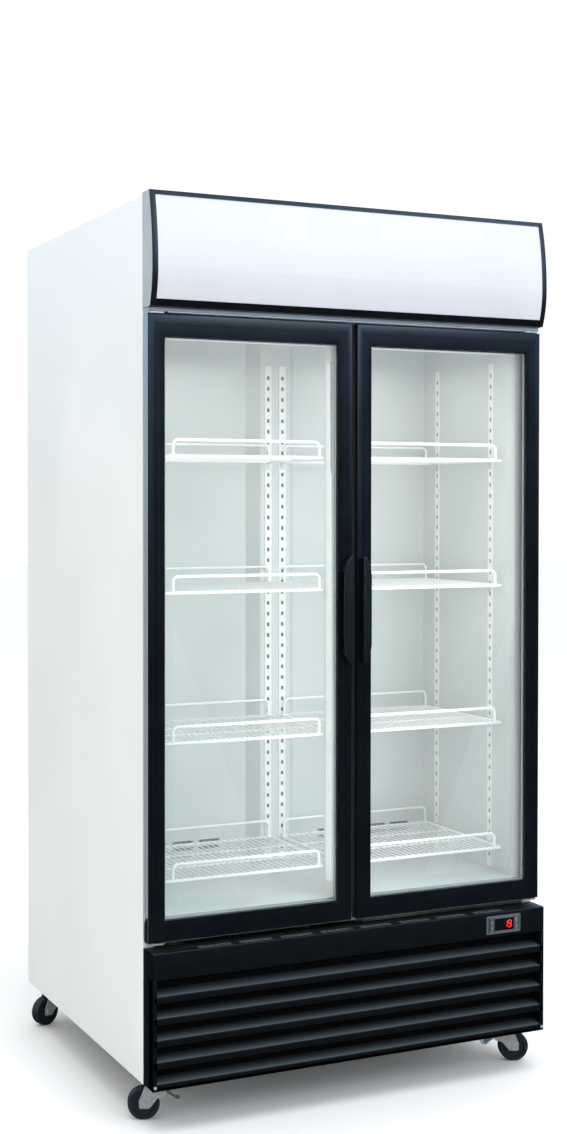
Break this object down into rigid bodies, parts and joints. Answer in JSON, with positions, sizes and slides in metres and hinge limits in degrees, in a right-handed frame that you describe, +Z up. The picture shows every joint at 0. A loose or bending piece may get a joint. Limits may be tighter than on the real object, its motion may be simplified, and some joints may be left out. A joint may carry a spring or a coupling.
{
  "type": "glass door merchandiser",
  "caption": "Upright drinks cabinet with swing glass doors over wire shelves, a bowed light box sign above, a louvred base below, on swivel castors.",
  "frame": {"origin": "centre of the footprint on the floor, where the castors stand", "axes": "+X to the right seen from the front, +Y from the doors to the rear, +Z up"},
  "size_m": [1.025, 0.857, 2.002],
  "materials": {
    "white_steel": "gloss",
    "white_liner": "satin",
    "black_aluminium": "gloss",
    "black_plastic": "gloss",
    "black_moulding": "satin",
    "clear_glass": "gloss",
    "bright_aluminium": "satin",
    "coated_wire": "gloss",
    "zinc_steel": "satin",
    "black_rubber": "matte",
    "grey_gasket": "satin",
    "foam": "matte",
    "white_plastic": "satin",
    "opal_acrylic": "gloss",
    "grey_bezel": "satin",
    "smoked_window": "gloss",
    "coil_fin": "satin",
    "black_enamel": "gloss",
    "galvanised": "matte"
  },
  "bodies": {
    "cabinet": {"side_panel_left": "white_steel", "side_panel_right": "white_steel", "top_panel": "galvanised", "rear_panel": "galvanised", "insulation": "foam", "liner": "white_liner", "duct_panel": "white_liner", "mullion": "white_plastic", "lamp_bars": "opal_acrylic", "pilasters": "white_liner", "shelf_clips": "zinc_steel", "shelves_left": "coated_wire", "shelves_right": "coated_wire", "base_frame": "galvanised", "front_grille": "black_moulding", "grille_screws": "zinc_steel", "controller_bezel": "grey_bezel", "display_window": "smoked_window", "sign_end_cap_left": "black_plastic", "sign_end_cap_right": "black_plastic", "sign_rails": "black_aluminium", "sign_panel": "opal_acrylic", "sign_housing": "galvanised", "sign_light": "opal_acrylic", "header_strip": "bright_aluminium", "hinge_brackets_top": "zinc_steel", "hinge_brackets_bottom": "zinc_steel", "castor_plates": "zinc_steel", "condenser_coil": "coil_fin", "condenser_shroud": "black_enamel", "compressor": "black_enamel", "drain_pan": "white_plastic", "power_inlet": "black_plastic", "evaporator_coil": "coil_fin", "evap_shroud": "galvanised"},
    "door_left": {"door_frame_left": "black_aluminium", "glass_panes_left": "clear_glass", "glass_spacer_left": "bright_aluminium", "gasket_left": "grey_gasket", "handle_left": "black_plastic"},
    "door_right": {"door_frame_right": "black_aluminium", "glass_panes_right": "clear_glass", "glass_spacer_right": "bright_aluminium", "gasket_right": "grey_gasket", "handle_right": "black_plastic"},
    "castor_front_left": {"castor_fork_front_left": "zinc_steel"},
    "wheel_front_left": {"castor_wheel_front_left": "black_rubber"},
    "brake_front_left": {"castor_brake_front_left": "zinc_steel"},
    "castor_front_right": {"castor_fork_front_right": "zinc_steel"},
    "wheel_front_right": {"castor_wheel_front_right": "black_rubber"},
    "brake_front_right": {"castor_brake_front_right": "zinc_steel"},
    "castor_rear_left": {"castor_fork_rear_left": "zinc_steel"},
    "wheel_rear_left": {"castor_wheel_rear_left": "black_rubber"},
    "castor_rear_right": {"castor_fork_rear_right": "zinc_steel"},
    "wheel_rear_right": {"castor_wheel_rear_right": "black_rubber"},
    "key_up": {"key_up": "black_plastic"},
    "key_down": {"key_down": "black_plastic"},
    "key_set": {"key_set": "black_plastic"},
    "condenser_fan": {"condenser_fan": "black_plastic"},
    "evap_fan": {"evap_fan": "black_plastic"}
  },
  "joints": [
    {"name": "door_left_hinge", "type": "hinge", "parent": "cabinet", "child": "door_left", "pos_m": [-0.488, -0.3905, 1.074], "axis": [0, 0, -1], "range_deg": [0, 110]},
    {"name": "door_right_hinge", "type": "hinge", "parent": "cabinet", "child": "door_right", "pos_m": [0.488, -0.3905, 1.074], "axis": [0, 0, 1], "range_deg": [0, 110]},
    {"name": "castor_front_left_swivel", "type": "hinge", "parent": "cabinet", "child": "castor_front_left", "pos_m": [-0.45, -0.3255, 0.081], "axis": [0, 0, 1], "continuous": true},
    {"name": "wheel_front_left_spin", "type": "hinge", "parent": "castor_front_left", "child": "wheel_front_left", "pos_m": [-0.47631, -0.31592, 0.035], "axis": [-0.342, -0.9397, 0], "continuous": true},
    {"name": "brake_front_left_press", "type": "hinge", "parent": "castor_front_left", "child": "brake_front_left", "pos_m": [-0.4406, -0.32892, 0.058], "axis": [0.342, 0.9397, 0], "range_deg": [0, 18]},
    {"name": "castor_front_right_swivel", "type": "hinge", "parent": "cabinet", "child": "castor_front_right", "pos_m": [0.45, -0.3255, 0.081], "axis": [0, 0, 1], "continuous": true},
    {"name": "wheel_front_right_spin", "type": "hinge", "parent": "castor_front_right", "child": "wheel_front_right", "pos_m": [0.47631, -0.33508, 0.035], "axis": [0.342, 0.9397, 0], "continuous": true},
    {"name": "brake_front_right_press", "type": "hinge", "parent": "castor_front_right", "child": "brake_front_right", "pos_m": [0.4406, -0.32208, 0.058], "axis": [-0.342, -0.9397, 0], "range_deg": [0, 18]},
    {"name": "castor_rear_left_swivel", "type": "hinge", "parent": "cabinet", "child": "castor_rear_left", "pos_m": [-0.45, 0.3735, 0.081], "axis": [0, 0, 1], "continuous": true},
    {"name": "wheel_rear_left_spin", "type": "hinge", "parent": "castor_rear_left", "child": "wheel_rear_left", "pos_m": [-0.47631, 0.36392, 0.035], "axis": [0.342, -0.9397, 0], "continuous": true},
    {"name": "castor_rear_right_swivel", "type": "hinge", "parent": "cabinet", "child": "castor_rear_right", "pos_m": [0.45, 0.3735, 0.081], "axis": [0, 0, 1], "continuous": true},
    {"name": "wheel_rear_right_spin", "type": "hinge", "parent": "castor_rear_right", "child": "wheel_rear_right", "pos_m": [0.42855, 0.3915, 0.035], "axis": [-0.6428, -0.766, 0], "continuous": true},
    {"name": "key_up_press", "type": "slide", "parent": "cabinet", "child": "key_up", "axis": [0, 1, 0], "range_m": [0, 0.0006], "stiffness_N_per_m": 400},
    {"name": "key_down_press", "type": "slide", "parent": "cabinet", "child": "key_down", "axis": [0, 1, 0], "range_m": [0, 0.0006], "stiffness_N_per_m": 400},
    {"name": "key_set_press", "type": "slide", "parent": "cabinet", "child": "key_set", "axis": [0, 1, 0], "range_m": [0, 0.0006], "stiffness_N_per_m": 400},
    {"name": "condenser_fan_spin", "type": "hinge", "parent": "cabinet", "child": "condenser_fan", "pos_m": [-0.22, -0.2215, 0.239], "axis": [0, 1, 0], "continuous": true},
    {"name": "evap_fan_spin", "type": "hinge", "parent": "cabinet", "child": "evap_fan", "pos_m": [0, 0.1385, 0.8535], "axis": [0, 1, 0], "continuous": true}
  ]
}
